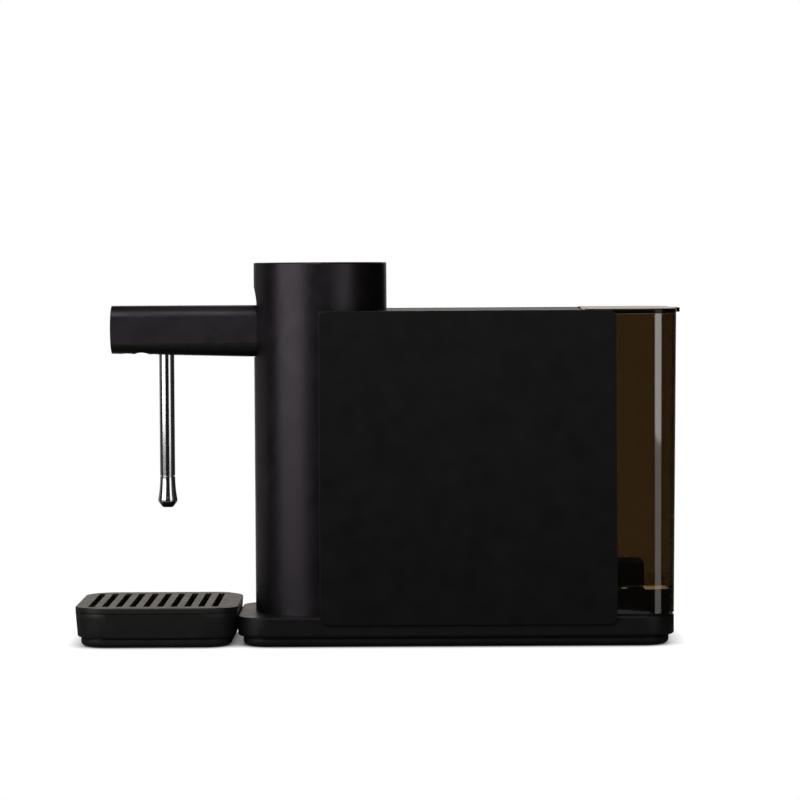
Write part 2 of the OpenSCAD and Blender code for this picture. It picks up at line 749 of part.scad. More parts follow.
module lever_fork() color([0.6, 0.6, 0.62]) difference() {
    union() {
        translate([x_pivot - 20, -fork_y, fork_z]) cube([23, 2 * fork_y, fork_top - fork_z]);
        for (y = [-fork_y, tine_y]) translate([0, y + fork_y - tine_y, 0]) rotate([90, 0, 0])
            linear_extrude(fork_y - tine_y) tine_shape();
    }
    rod_y(x_pivot, pivot_z, arm_w, lever_pin_d / 2 + 1.3);
    rod_y(drive_x, drive_z, arm_w, drive_pin_d / 2);
    tube_z(arm_screw_at[1][0], arm_screw_at[1][1], fork_z - 1, arm_seam + screw_grip + 1, screw_r);
}

module lever_bushes() color([0.7, 0.55, 0.3]) for (y = [cheek_y - gap - 6, -cheek_y + gap])
    translate([x_pivot, y, pivot_z]) rotate([-90, 0, 0]) difference() {
        cylinder(r = lever_pin_d / 2 + 1.3, h = 6);
        translate([0, 0, -1]) cylinder(r = lever_pin_d / 2 + run_fit, h = 8);
    }

module drive_pin() color([0.7, 0.7, 0.72]) rod_y(drive_x, drive_z, fork_y, drive_pin_d / 2);

// The duct climbs from the hose to the block over the spout
module coffee_duct() color([0.8, 0.8, 0.78]) {
    x0 = arm_rear - 1.3;
    x1 = x_spout + 9.6;
    run = sqrt(pow(x0 - x1, 2) + pow(duct_z - hose_end_z, 2));
    translate([x0, 0, hose_end_z]) rotate([0, -90 + atan((duct_z - hose_end_z) / (x0 - x1)), 0])
        tube_z(0, 0, 0, run, hose_r, nipple_r);
}

module spout_block() color([0.2, 0.2, 0.2]) difference() {
    translate([x_spout - 9, -8, arm_low_front + arm_wall - 0.3])
        cube([18, 16, duct_z + 6 - arm_low_front - arm_wall]);
    tube_z(x_spout, 0, 0, tube_top, spout_d / 2);
    tube_z(x_spout, 0, tube_top - 1, duct_z + 3, 3);
    tube_x(x_spout, x_spout + 10, 0, duct_z, nipple_r);
}

module spout_tube() color([0.85, 0.85, 0.87])
    tube_z(x_spout, 0, spout_joint_z + 0.2, tube_top, spout_d / 2, spout_d / 2 - spout_wall);

// ---------- pull-down end of the spout ----------

module spout_inner_tube() color([0.8, 0.8, 0.82])
    tube_z(x_spout, 0, spout_tip_z + 6.5, spout_joint_z + spout_travel + 18,
        inner_tube_r, inner_tube_r - 0.8);

module spout_flare() color([0.85, 0.85, 0.87]) {
    top = spout_joint_z - 0.2;
    low = spout_tip_z + 3;
    belly = spout_tip_z + 5;
    flare = (flare_d - spout_d) / 2;
    reach = top - belly;
    r = (reach * reach + flare * flare) / (2 * flare);
    translate([x_spout, 0, 0]) rotate_extrude() difference() {
        union() {
            translate([0, belly]) square([flare_d / 2, reach]);
            polygon([[0, low], [flare_d / 2 - 0.7, low], [flare_d / 2 - 0.1, low + 0.9],
                [flare_d / 2, belly], [0, belly]]);
        }
        translate([spout_d / 2 + r, top]) circle(r, $fn = 360);
        translate([0, low - 1]) square([inner_tube_r, top]);
        translate([0, low - 1]) square([flare_d / 2 - 0.95, spout_tip_z + 6.5 - low + 1]);
    }
}

module spout_nozzle() color([0.04, 0.04, 0.04]) {
    plug = flare_d / 2 - 0.95;
    translate([x_spout, 0, spout_tip_z]) rotate_extrude()
        polygon([[2.2, 0], [plug - 2.1, 0], [plug - 1.5, 0.8], [plug, 2.7], [plug, 6.5], [2.2, 6.5]]);
}

// ---------- pod holder ----------

module pod_cup() color([0.5, 0.5, 0.52]) difference() {
    union() {
        tube_z(x_tower, 0, holder_low, holder_top - 1, holder_r);
        tube_z(x_tower, 0, holder_top - rim_t, holder_top, rim_r);
        for (y = [-rod_y, rod_y]) {
            tube_z(x_tower, y, holder_top - rim_t, holder_top, ear_r);
            translate([x_tower - ear_r, min(0, y), holder_top - rim_t]) cube([2 * ear_r, rod_y, rim_t]);
        }
        translate([drive_x - 4.5, -6, drive_z - 5]) cube([x_tower - holder_r - drive_x + 7, 12, 10]);
        tube_z(x_tower, 0, holder_low - nipple_l, holder_low + 1, nipple_r);
    }
    tube_z(x_tower, 0, cup_top, holder_top + 1, pod_flange_d / 2 + 0.7);
    translate([x_tower, 0, cup_floor])
        cylinder(r1 = pod_body_d / 2 - 2.5, r2 = pod_body_d / 2 + 0.3, h = cup_depth + 0.01);
    tube_z(x_tower, 0, holder_low + 3, cup_floor + 1, 8);
    tube_z(x_tower, 0, holder_low - nipple_l - 1, cup_floor, nipple_r - 0.7);
    for (y = [-rod_y, rod_y]) tube_z(x_tower, y, holder_top - rim_t - 1, holder_top + 1, bush_r);
    for (x = [drive_x - 0.15, drive_x + drive_sway + 0.15]) rod_y(x, drive_z, 7, drive_pin_d / 2 + gap);
    translate([drive_x - 0.15, -7, drive_z - drive_pin_d / 2 - gap])
        cube([drive_sway + 0.3, 14, drive_pin_d + 2 * gap]);
}

module pierce_plate() color([0.75, 0.75, 0.77]) translate([x_tower, 0, cup_floor]) {
    difference() {
        cylinder(r = pod_body_d / 2 - 2.6, h = 1);
        for (a = [0:45:315]) rotate(a) translate([8, 0, -1]) cylinder(r = 0.8, h = 3);
    }
    for (a = [0:60:300]) rotate(a) translate([4.5, 0, 0.9]) cylinder(r1 = 1.2, r2 = 0.2, h = 2.2);
}

module holder_bushes() color([0.7, 0.55, 0.3]) for (y = [-rod_y, rod_y])
    tube_z(x_tower, y, holder_top - rim_t - 1, holder_top + 1, bush_r, rod_d / 2 + run_fit);

// Flexible hose from the pod holder to the lever's duct
module brew_hose() color([0.85, 0.8, 0.75]) {
    low = holder_low - nipple_l;
    x_up = arm_rear + 5.2;
    tube_z(x_tower, 0, low, holder_low, hose_r, nipple_r);
    bend(x_tower - bend_r, low, 270, bend_r, hose_r, nipple_r);
    tube_x(x_up + bend_r, x_tower - bend_r, 0, low - bend_r, hose_r, nipple_r);
    bend(x_up + bend_r, low, 180, bend_r, hose_r, nipple_r);
    tube_z(x_up, 0, low, hose_end_z - bend_r, hose_r, nipple_r);
    bend(x_up - bend_r, hose_end_z - bend_r, 0, bend_r, hose_r, nipple_r);
}

// ---------- hatch and dial ----------

module hatch_lid() color([0.12, 0.12, 0.12]) difference() {
    union() {
        intersection() {
            tube_z(x_tower, 0, hatch_top - hatch_t, hatch_top, hatch_edge_r);
            translate([hatch_chord - tower_d, -tower_r, 0]) cube([tower_d, tower_d, tower_h]);
        }
        translate([hatch_chord - 1, -knuckle_y, hatch_top - hatch_t])
            cube([x_hatch - hatch_chord + 1, 2 * knuckle_y, hatch_t]);
        translate([x_hatch - hinge_r, -knuckle_y, hatch_top - hatch_t])
            cube([hinge_r, 2 * knuckle_y, hinge_z - hatch_top + hatch_t]);
        rod_y(x_hatch, hinge_z, knuckle_y, hinge_r);
    }
    rod_y(x_hatch, hinge_z, knuckle_y + 1, hatch_pin_r + run_fit);
    tube_z(x_tower, 0, hatch_top - dish_depth, tower_h, dial_d / 2 + 1);
    tube_z(x_tower, 0, 0, tower_h, core_r);
    lens_cut(hatch_top - dish_depth, tower_h);
}

module lens_cut(z0, z1) plan_box(x_tower - 32.5, x_tower - 22.5, 18, 4, z0, z1);

module display_lens() color([0.03, 0.03, 0.04]) lens_cut(hatch_top - dish_depth, hatch_top);

module injection_head() color([0.3, 0.3, 0.31]) difference() {
    tube_z(x_tower, 0, head_z, hatch_top - hatch_t, head_r);
    tube_z(x_tower, 0, hatch_top - hatch_t - 5, hatch_top, core_r + 1);
    for (a = [0:120:240]) translate([x_tower, 0, 0]) rotate(a) tube_z(6, 0, head_z - 1, head_z + 3, 1.2);
}

module head_seal() color([0.5, 0.1, 0.08])
    tube_z(x_tower, 0, holder_top + gap, head_z, head_r, head_r - 2.5);

module pod_needles() color([0.75, 0.75, 0.77]) translate([x_tower, 0, 0]) for (a = [0:120:240])
    rotate(a) translate([6, 0, 0]) {
        translate([0, 0, head_z]) cylinder(r = 1.2, h = 3);
        translate([0, 0, head_z - 6]) cylinder(r1 = 0.2, r2 = 1.2, h = 6);
    }

module dial_core() color([0.2, 0.2, 0.2]) {
    tube_z(x_tower, 0, hatch_top - hatch_t - 3, spigot_z, core_r - run_fit);
    tube_z(x_tower, 0, spigot_z - 1, dial_top - 0.7, spigot_r - run_fit);
}

module dial_knob() color([0.16, 0.15, 0.17]) translate([x_tower, 0, 0]) {
    low = hatch_top - dish_depth + dial_press + 0.3;
    difference() {
        rotate_extrude() translate([0, low]) edge_profile(dial_d / 2, dial_top - low, 0.3, 0.8);
        tube_z(0, 0, low - 1, spigot_z + 0.1, core_r + 0.3);
        tube_z(0, 0, low - 1, dial_top - 0.6, spigot_r);
        for (i = [0:dial_flutes - 1]) rotate(i * 360 / dial_flutes)
            tube_z(dial_d / 2 + 0.2, 0, low - 1, dial_top - 0.8, 0.6);
    }
}

// ---------- water tank ----------

function tank_r(z) = tank_foot_r + tank_flare * (z - tank_low) / (tank_rim - tank_low);

// Slice of the tapering tank between two heights, inset from its outside
module tank_slice(inset, z0, z1) intersection() {
    round_box(x_tank - body_w, x_rear + tank_flare, body_w - 2, tank_corner_r, z0, z1)
        polygon([[0, z0], [tank_r(z0) - inset, z0], [tank_r(z1) - inset, z1], [0, z1]]);
    translate([x_tank + inset, -body_w, z0]) cube([body_w, 2 * body_w, z1 - z0]);
}

module tank_pedestal() color([0.1, 0.1, 0.1]) difference() {
    tank_slice(tank_wall + pedestal_gap, deck_z, tank_floor - tank_wall - seat_gap);
    tank_slice(tank_wall + pedestal_gap + wall, deck_z - 1, tank_floor - tank_wall - seat_gap - wall);
    tube_z(x_valve, 0, deck_z, tower_h, hose_r);
    tube_z(x_valve, 0, tank_floor - tank_wall - seat_gap - 1, tower_h, 6);
    tube_x(x_tank, x_tank + 12, 0, supply_z, hose_r + 0.5);
}

module tank_seal() color([0.5, 0.1, 0.08])
    tube_z(x_valve, 0, tank_floor - tank_wall - seat_gap - 1, tank_floor - tank_wall - seat_gap, 6, 3.4);

module tank_shell() color([0.3, 0.22, 0.13, 0.6]) difference() {
    union() {
        difference() {
            tank_slice(0, tank_low, tank_rim);
            tank_slice(tank_wall, tank_floor, tank_mark);
            tank_slice(tank_wall + 2, tank_mark - 0.5, tank_mark + 1.7);
            tank_slice(tank_wall, tank_mark + 1.2, tank_rim + 1);
            tank_slice(tank_wall, tank_low - 1, tank_floor - tank_wall);
        }
        for (y = [-lid_side, lid_side - lid_ear]) translate([x_tank, y, tank_rim - 4])
            cube([2 * (lid_axis_x - x_tank), lid_ear, lid_axis_z - tank_rim + 4 + lid_t / 2]);
    }
    rod_y(lid_axis_x, lid_axis_z, body_w / 2, lid_pin_r + run_fit);
    tube_z(x_valve, 0, tank_low, tank_floor + 1, 3);
    translate([x_tank - 1, -hose_r - hose_air, tank_low - 1])
        cube([tank_wall + 2, 2 * (hose_r + hose_air), supply_z + hose_r + hose_air - tank_low + 1]);
}

module filter_box() color([0.12, 0.1, 0.08]) difference() {
    top = tank_floor + 12.3;
    plan_box(x_valve - 12, x_valve + 17.6, 44, 4, tank_floor, top);
    tube_z(x_valve, 0, tank_floor - 1, tank_floor + 8, 7);
    for (i = [0:5]) translate([x_valve + 1, -18.5 + i * 6.6, top - 1.6]) cube([13, 4, 3]);
}

module valve_poppet() color([0.8, 0.8, 0.8]) {
    tube_z(x_valve, 0, tank_floor + 2.8, tank_floor + 4.6, 5.5);
    tube_z(x_valve, 0, tank_floor - tank_wall + 0.15, tank_floor + 3, 1.6);
}

module tank_lid() color([0.05, 0.05, 0.05]) difference() {
    union() {
        difference() {
            translate([0, 0, lid_z])
                round_box(x_tank - body_w, x_rear + tank_flare, body_w - 2, tank_corner_r, 0, lid_t)
                    edge_profile(tank_corner_r, lid_t, 0.3, 0.8);
            translate([lid_axis_x - 2 * body_w, -body_w, lid_z - 1])
                cube([2 * body_w, 2 * body_w, lid_t + 2]);
            for (y = [-lid_side - 1, lid_side - lid_ear - 1]) translate([lid_axis_x - 1, y, lid_z - 1])
                cube([lid_axis_x - x_tank + 1.5, lid_ear + 2, lid_t + 2]);
        }
        rod_y(lid_axis_x, lid_axis_z, lid_side - lid_ear - 0.5, lid_t / 2);
        plan_box(x_rear - 10, x_rear + tank_flare + lid_tab, tab_w, tab_r, tab_z, tab_z + lid_t - 0.4);
    }
    rod_y(lid_axis_x, lid_axis_z, body_w, lid_pin_r);
}

module lid_pin() color([0.7, 0.7, 0.72]) rod_y(lid_axis_x, lid_axis_z, lid_side - 0.5, lid_pin_r);

// ---------- drip tray ----------

module drip_tray() color([0.1, 0.1, 0.1]) difference() {
    foot_r = corner_r - tray_draft;
    bowl_r = corner_r - tray_wall;
    bowl_z = base_z + tray_wall;
    round_box(x_tray, tray_end, body_w, corner_r, base_z, tray_rim)
        polygon([[0, base_z], [foot_r - 0.6, base_z], [foot_r, base_z + 0.6],
            [corner_r, tray_rim], [0, tray_rim]]);
    round_box(x_tray, tray_end, body_w, corner_r, bowl_z, tray_rim + 1)
        polygon([[0, bowl_z], [bowl_r - tray_draft - 1, bowl_z], [bowl_r - tray_draft, bowl_z + 2],
            [bowl_r, tray_rim + 1], [0, tray_rim + 1]]);
}

module tray_plinth() color([0.07, 0.07, 0.07]) difference() {
    plinth(x_tray, tray_end, plate_floor);
    at(tray_foot_at) tube_z(0, 0, 0, foot_show + foot_sink, foot_d / 2 + 0.1);
}

module tray_feet() color([0.05, 0.05, 0.05])
    at(tray_foot_at) tube_z(0, 0, 0, foot_show + foot_sink, foot_d / 2);

// Cup rest on the tray's rim, with a lip that keeps it in place and a sloping part at the rear
module grille() color([0.3, 0.28, 0.26]) difference() {
    lip = tray_wall + 0.5;
    lip_z = tray_rim - 1.1;
    seam = 0.35;
    ramp_l = 9.6;
    ramp_angle = 2.4;
    union() {
        translate([0, 0, tray_rim + seam])
            round_box(x_tray, tray_end, body_w, corner_r, 0, grille_h - seam)
                edge_profile(corner_r, grille_h - seam, 0.2, 0.8);
        plan_box(x_tray, tray_end, body_w, corner_r, tray_rim + seat_gap, tray_rim + 1, 0.8);
        difference() {
            plan_box(x_tray, tray_end, body_w, corner_r, lip_z, tray_rim + 1, lip);
            plan_box(x_tray, tray_end, body_w, corner_r, lip_z - 1, tray_rim + seat_gap, lip + 2);
        }
    }
    for (i = [0:slot_count - 1]) {
        x = x_tray + slot_first + i * slot_pitch;
        plan_box(x - slot_w / 2, x + slot_w / 2, slot_l, 0.8, lip_z - 1, tray_top + 1);
    }
    translate([tray_end - ramp_l, -body_w, tray_top - 0.15]) rotate([0, ramp_angle, 0])
        cube([2 * ramp_l, 2 * body_w, 3]);
}

base_housing();
base_plate();
base_feet();
base_screws();
cord_gland();
tower_shell();
tower_chassis();
brew_frame();
guide_rods();
lever_pin();
hatch_rear_cap();
hatch_pin();
body_housing();
side_panel_near();
side_panel_far();
tank_pedestal();
tank_seal();
suction_hose();
flow_meter();
pump_hose();
pump();
pump_saddles();
feed_hose();
thermoblock();
heater_posts();
hot_hose();
control_board();
arm_shell();
arm_underside();
arm_screws();
lever_fork();
lever_bushes();
drive_pin();
coffee_duct();
spout_block();
spout_tube();
spout_inner_tube();
spout_flare();
spout_nozzle();
pod_cup();
pierce_plate();
holder_bushes();
brew_hose();
hatch_lid();
injection_head();
head_seal();
pod_needles();
display_lens();
dial_core();
dial_knob();
tank_shell();
filter_box();
valve_poppet();
tank_lid();
lid_pin();
drip_tray();
tray_plinth();
tray_feet();
grille();
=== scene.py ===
import json
import math

import bpy
from mathutils import Matrix, Vector


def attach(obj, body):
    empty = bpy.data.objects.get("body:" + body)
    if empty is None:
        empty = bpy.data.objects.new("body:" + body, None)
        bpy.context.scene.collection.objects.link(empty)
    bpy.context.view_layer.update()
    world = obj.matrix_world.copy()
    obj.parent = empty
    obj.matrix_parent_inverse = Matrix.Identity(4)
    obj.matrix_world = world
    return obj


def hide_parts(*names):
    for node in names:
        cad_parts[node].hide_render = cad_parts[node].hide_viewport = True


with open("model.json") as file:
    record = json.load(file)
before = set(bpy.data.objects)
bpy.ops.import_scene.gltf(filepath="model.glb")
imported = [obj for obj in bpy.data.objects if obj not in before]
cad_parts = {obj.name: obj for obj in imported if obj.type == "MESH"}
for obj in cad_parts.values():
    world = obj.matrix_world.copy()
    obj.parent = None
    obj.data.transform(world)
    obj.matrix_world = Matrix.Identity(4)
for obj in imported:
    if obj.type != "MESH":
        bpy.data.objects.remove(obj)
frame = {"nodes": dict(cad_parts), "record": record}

MM = 0.001
scene = bpy.context.scene
nodes = frame["nodes"]
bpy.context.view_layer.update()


# ---------- camera ----------

CAMERA_AT = Vector((32.1, -2395.0, 258.3)) * MM
CAMERA_LENS = 163.35
CAMERA_SENSOR = 36.0
CAMERA_YAW = math.radians(0.43)
CAMERA_DOWN = math.radians(2.4)
CAMERA_ROLL = math.radians(-0.33)
CAMERA_REACH = 50.0


def add_camera():
    """The camera stands far in front of the near side panel and looks slightly down."""
    data = bpy.data.cameras.new("camera")
    data.lens = CAMERA_LENS
    data.sensor_width = CAMERA_SENSOR
    data.clip_end = CAMERA_REACH
    camera = bpy.data.objects.new("camera", data)
    turn = (
        Matrix.Rotation(CAMERA_YAW, 4, "Z")
        @ Matrix.Rotation(math.pi / 2 - CAMERA_DOWN, 4, "X")
        @ Matrix.Rotation(CAMERA_ROLL, 4, "Z")
    )
    camera.matrix_world = Matrix.Translation(CAMERA_AT) @ turn
    scene.collection.objects.link(camera)
    scene.camera = camera


# ---------- lights ----------

OBJECT_MIDDLE = Vector((0.0, 0.0, 0.1))
# azimuth and elevation in degrees, distance, (width, height), radiance, rise
SOFTBOXES = {
    "key_light": (-51, 0, 1.6, (1.4, 1.3), 2.3, 0.62),
    "key_low": (-51, 0, 1.6, (1.4, 0.5), 0.2, -0.28),
    "fill_light": (41, 0, 1.7, (0.8, 0.9), 1.15, 0.37),
    "fill_low": (41, 0, 1.7, (0.8, 0.5), 0.36, -0.33),
    "top_light": (0, 38, 1.5, (0.9, 0.95), 2.4, 0.0),
    "overhead": (0, 90, 1.6, (1.1, 0.9), 0.5, 0.0),
    "rim_light": (-127, 0, 1.7, (1.24, 1.3), 0.16, 0.2),
}


def add_softbox(name, azimuth, elevation, distance, size, radiance, rise):
    """Area light that faces the object. Azimuth 0 is the camera's side and grows towards +X.
    The rise lifts it without tilting it."""
    around = math.radians(azimuth)
    up = math.radians(elevation)
    direction = Vector((math.sin(around) * math.cos(up), -math.cos(around) * math.cos(up), math.sin(up)))
    data = bpy.data.lights.new(name, "AREA")
    data.shape = "RECTANGLE"
    data.size, data.size_y = size
    data.energy = radiance * math.pi * data.size * data.size_y
    lamp = bpy.data.objects.new(name, data)
    lamp.location = OBJECT_MIDDLE + direction * distance + Vector((0, 0, rise))
    lamp.rotation_euler = (-direction).to_track_quat("-Z", "Y").to_euler()
    scene.collection.objects.link(lamp)


# ---------- node helpers ----------

def add_math(tree, operation, first, second):
    """Result of a math node. Each input is a socket or a plain number."""
    node = tree.nodes.new("ShaderNodeMath")
    node.operation = operation
    for socket, value in zip(node.inputs, (first, second)):
        if isinstance(value, bpy.types.NodeSocket):
            tree.links.new(value, socket)
        else:
            socket.default_value = value
    return node.outputs[0]


def add_range(tree, value, given, wanted, interpolation="LINEAR"):
    """Value carried from one range into another."""
    node = tree.nodes.new("ShaderNodeMapRange")
    node.interpolation_type = interpolation
    node.inputs["From Min"].default_value, node.inputs["From Max"].default_value = given
    node.inputs["To Min"].default_value, node.inputs["To Max"].default_value = wanted
    tree.links.new(value, node.inputs["Value"])
    return node.outputs["Result"]


def straight_rays(tree):
    """1 for rays that reach the camera straight or through clear plastic, 0 for mirrored ones."""
    path = tree.nodes.new("ShaderNodeLightPath").outputs
    unmirrored = add_math(tree, "LESS_THAN", path["Glossy Depth"], 0.5)
    through = add_math(tree, "MULTIPLY", path["Is Transmission Ray"], unmirrored)
    return add_math(tree, "MAXIMUM", path["Is Camera Ray"], through)


# ---------- backdrop ----------

AMBIENT = 0.42
STUDIO_DARK = 0.01
BACKDROP_COLOR = (0.86, 0.79, 0.73)
# The mirrored backdrop fades out sideways between these angles, and upwards between these elevations.
BACKDROP_SIDES = (math.cos(math.radians(28)), math.cos(math.radians(12)))
BACKDROP_TOP = (math.sin(math.radians(30)), math.sin(math.radians(50)))
# Below the horizon the mirrored ground grows as light as GROUND between these elevations.
GROUND_EDGE = (-math.sin(math.radians(7)), -math.sin(math.radians(16)))
GROUND = 0.25


def add_world():
    """White where the camera or clear plastic looks. Gloss sees a dark studio with a pale backdrop
    behind the object and pale ground, and everything gets an even ambient light."""
    world = bpy.data.worlds.new("studio")
    scene.world = world
    world.use_nodes = True
    tree = world.node_tree
    tree.nodes.clear()
    add = tree.nodes.new
    link = tree.links.new

    direction = add("ShaderNodeTexCoord").outputs["Generated"]
    level = add("ShaderNodeVectorMath")
    level.operation = "MULTIPLY"
    level.inputs[1].default_value = (1, 1, 0)
    link(direction, level.inputs[0])
    heading = add("ShaderNodeVectorMath")
    heading.operation = "NORMALIZE"
    link(level.outputs[0], heading.inputs[0])
    flat = add("ShaderNodeSeparateXYZ")
    link(heading.outputs[0], flat.inputs[0])
    full = add("ShaderNodeSeparateXYZ")
    link(direction, full.inputs[0])
    height = full.outputs["Z"]
    across = add_range(tree, flat.outputs["Y"], BACKDROP_SIDES, (STUDIO_DARK, 1.0), "SMOOTHSTEP")
    upward = add_range(tree, height, BACKDROP_TOP, (1.0, STUDIO_DARK))
    ground = add_range(tree, height, GROUND_EDGE, (0.0, GROUND))
    mirrored = add_math(tree, "MAXIMUM", add_math(tree, "MULTIPLY", across, upward), ground)

    strength = add("ShaderNodeMix")
    strength.data_type = "FLOAT"
    strength.inputs["A"].default_value = AMBIENT
    link(add("ShaderNodeLightPath").outputs["Is Glossy Ray"], strength.inputs["Factor"])
    link(mirrored, strength.inputs["B"])
    studio = add("ShaderNodeBackground")
    studio.inputs["Color"].default_value = (*BACKDROP_COLOR, 1)
    link(strength.outputs["Result"], studio.inputs["Strength"])
    white = add("ShaderNodeBackground")
    white.inputs["Color"].default_value = (1, 1, 1, 1)
    mix = add("ShaderNodeMixShader")
    link(straight_rays(tree), mix.inputs["Fac"])
    link(studio.outputs[0], mix.inputs[1])
    link(white.outputs[0], mix.inputs[2])
    link(mix.outputs[0], add("ShaderNodeOutputWorld").inputs["Surface"])


FLOOR_RADIUS = 0.3
FLOOR_CORNERS = 96
FLOOR_COLOR = 0.3
FLOOR_MIRRORED = 0.15
FLOOR_GLOW = 0.95
FLOOR_SHADE_REACH = 0.013
FLOOR_SHADE_SAMPLES = 12


def add_floor():
    """Pale worktop that melts into the white background. Its lit part keeps the lamps' soft shadow, and its
    glow carries a painted contact shadow from an occlusion node.
    """
    mesh = bpy.data.meshes.new("floor")
    turns = [i * math.tau / FLOOR_CORNERS for i in range(FLOOR_CORNERS)]
    rim = [(FLOOR_RADIUS * math.cos(turn), FLOOR_RADIUS * math.sin(turn), 0.0) for turn in turns]
    mesh.from_pydata(rim, [], [list(range(FLOOR_CORNERS))])
    floor = bpy.data.objects.new("floor", mesh)
    scene.collection.objects.link(floor)

    mat = bpy.data.materials.new("worktop")
    mat.use_nodes = True
    tree = mat.node_tree
    add = tree.nodes.new
    link = tree.links.new
    paint = tree.nodes["Principled BSDF"]
    paint.inputs["Roughness"].default_value = 0.9
    paint.inputs["Specular IOR Level"].default_value = 0.0
    glossy = add("ShaderNodeLightPath").outputs["Is Glossy Ray"]
    link(add_range(tree, glossy, (0.0, 1.0), (FLOOR_COLOR, FLOOR_MIRRORED)), paint.inputs["Base Color"])
    # Ambient occlusion darkens the floor's glow near the object and in the gap between its parts: painted
    # contact shadow.
    painted_contact_shade = add("ShaderNodeAmbientOcclusion")
    painted_contact_shade.samples = FLOOR_SHADE_SAMPLES
    painted_contact_shade.inputs["Distance"].default_value = FLOOR_SHADE_REACH
    level = add_math(tree, "MULTIPLY", straight_rays(tree), FLOOR_GLOW)
    glow = add("ShaderNodeEmission")
    glow.inputs["Color"].default_value = (1, 1, 1, 1)
    link(add_math(tree, "MULTIPLY", level, painted_contact_shade.outputs["AO"]), glow.inputs["Strength"])
    both = add("ShaderNodeAddShader")
    link(paint.outputs[0], both.inputs[0])
    link(glow.outputs[0], both.inputs[1])
    link(both.outputs[0], tree.nodes["Material Output"].inputs["Surface"])
    mesh.materials.append(mat)


# ---------- materials ----------

# Part of a noise's range that carries the whole change of colour or roughness.
NOISE_SPAN = (0.3, 0.7)


def new_material(slot, color, rough, **sockets):
    """Principled material of one slot; every constant sits on the shader's own socket."""
    mat = bpy.data.materials.new(slot)
    mat.use_nodes = True
    shader = mat.node_tree.nodes["Principled BSDF"]
    shader.inputs["Base Color"].default_value = (*color, 1.0)
    shader.inputs["Roughness"].default_value = rough
    for name, value in sockets.items():
        shader.inputs[name.replace("_", " ")].default_value = value
    return mat


def noise(mat, scale, detail, stretch=(1, 1, 1)):
    """Noise over the piece's own coordinates, scale in cycles per metre."""
    tree = mat.node_tree
    place = tree.nodes.new("ShaderNodeTexCoord")
    mapping = tree.nodes.new("ShaderNodeMapping")
    mapping.inputs["Scale"].default_value = stretch
    texture = tree.nodes.new("ShaderNodeTexNoise")
    texture.inputs["Scale"].default_value = scale
    texture.inputs["Detail"].default_value = detail
    tree.links.new(place.outputs["Object"], mapping.inputs["Vector"])
    tree.links.new(mapping.outputs[0], texture.inputs["Vector"])
    return texture.outputs["Fac"]


def shade(color, factor):
    return tuple(min(1.0, c * factor) for c in color)


def vary_color(mat, source, dark, light):
    """Lets the base colour wander between two colours."""
    tree = mat.node_tree
    ramp = tree.nodes.new("ShaderNodeValToRGB")
    for stop, position, color in zip(ramp.color_ramp.elements, NOISE_SPAN, (dark, light)):
        stop.position = position
        stop.color = (*color, 1.0)
    tree.links.new(source, ramp.inputs["Fac"])
    tree.links.new(ramp.outputs["Color"], tree.nodes["Principled BSDF"].inputs["Base Color"])


def vary_rough(mat, source, low, high):
    """Lets the roughness wander between two values."""
    tree = mat.node_tree
    result = add_range(tree, source, NOISE_SPAN, (low, high))
    tree.links.new(result, tree.nodes["Principled BSDF"].inputs["Roughness"])


def emboss(mat, source, height_mm, strength):
    """Fine relief of the given height in millimetres."""
    tree = mat.node_tree
    bump = tree.nodes.new("ShaderNodeBump")
    bump.inputs["Strength"].default_value = strength
    bump.inputs["Distance"].default_value = height_mm * MM
    tree.links.new(source, bump.inputs["Height"])
    tree.links.new(bump.outputs["Normal"], tree.nodes["Principled BSDF"].inputs["Normal"])


def coated(slot, color, rough, grain_mm=0.006, grain=2600, spread=0.05, **sockets):
    """Painted or anodised surface with an even, very fine grain."""
    mat = new_material(slot, color, rough, **sockets)
    vary_color(mat, noise(mat, 40, 4), shade(color, 0.9), shade(color, 1.1))
    vary_rough(mat, noise(mat, 90, 4), rough - spread, rough + spread)
    emboss(mat, noise(mat, grain, 2), grain_mm, 0.5)
    return mat


def moulded(slot, color, rough, grain_mm=0.02, grain=1400, **sockets):
    """Moulded plastic with the fine pebble of a spark-eroded tool."""
    mat = new_material(slot, color, rough, **sockets)
    vary_color(mat, noise(mat, 60, 5), shade(color, 0.85), shade(color, 1.15))
    vary_rough(mat, noise(mat, 120, 3), rough - 0.04, rough + 0.04)
    emboss(mat, noise(mat, grain, 3), grain_mm, 0.6)
    return mat


def machined(slot, color, rough, stretch=(1, 1, 0.05), scale=1500):
    """Turned or brushed metal with fine lines."""
    mat = new_material(slot, color, rough, Metallic=1.0)
    lines = noise(mat, scale, 3, stretch)
    vary_color(mat, lines, shade(color, 0.88), shade(color, 1.08))
    vary_rough(mat, noise(mat, 200, 3), rough - 0.05, rough + 0.08)
    emboss(mat, lines, 0.004, 0.4)
    return mat


def polished(slot, color, rough):
    """Bright plating with barely visible polishing marks."""
    mat = new_material(slot, color, rough, Metallic=1.0)
    marks = noise(mat, 300, 2, (1, 1, 0.2))
    vary_color(mat, marks, shade(color, 0.97), color)
    vary_rough(mat, marks, rough, rough + 0.008)
    return mat


def rubbery(slot, color, rough):
    """Matt rubber with a soft dusty grain."""
    mat = new_material(slot, color, rough, Specular_IOR_Level=0.3)
    vary_color(mat, noise(mat, 150, 5), shade(color, 0.8), shade(color, 1.3))
    vary_rough(mat, noise(mat, 300, 2), rough - 0.05, rough + 0.05)
    emboss(mat, noise(mat, 2200, 2), 0.015, 0.5)
    return mat


def smoked(slot, color, rough):
    """Clear smoked plastic of the tank, with a bright gloss."""
    mat = new_material(
        slot, color, rough, Transmission_Weight=1.0, IOR=1.49,
        Coat_Weight=1.0, Coat_Roughness=0.03, Coat_IOR=2.2,
    )
    vary_rough(mat, noise(mat, 30, 4), rough - 0.015, rough + 0.02)
    vary_color(mat, noise(mat, 12, 3), shade(color, 0.97), shade(color, 1.03))
    return mat


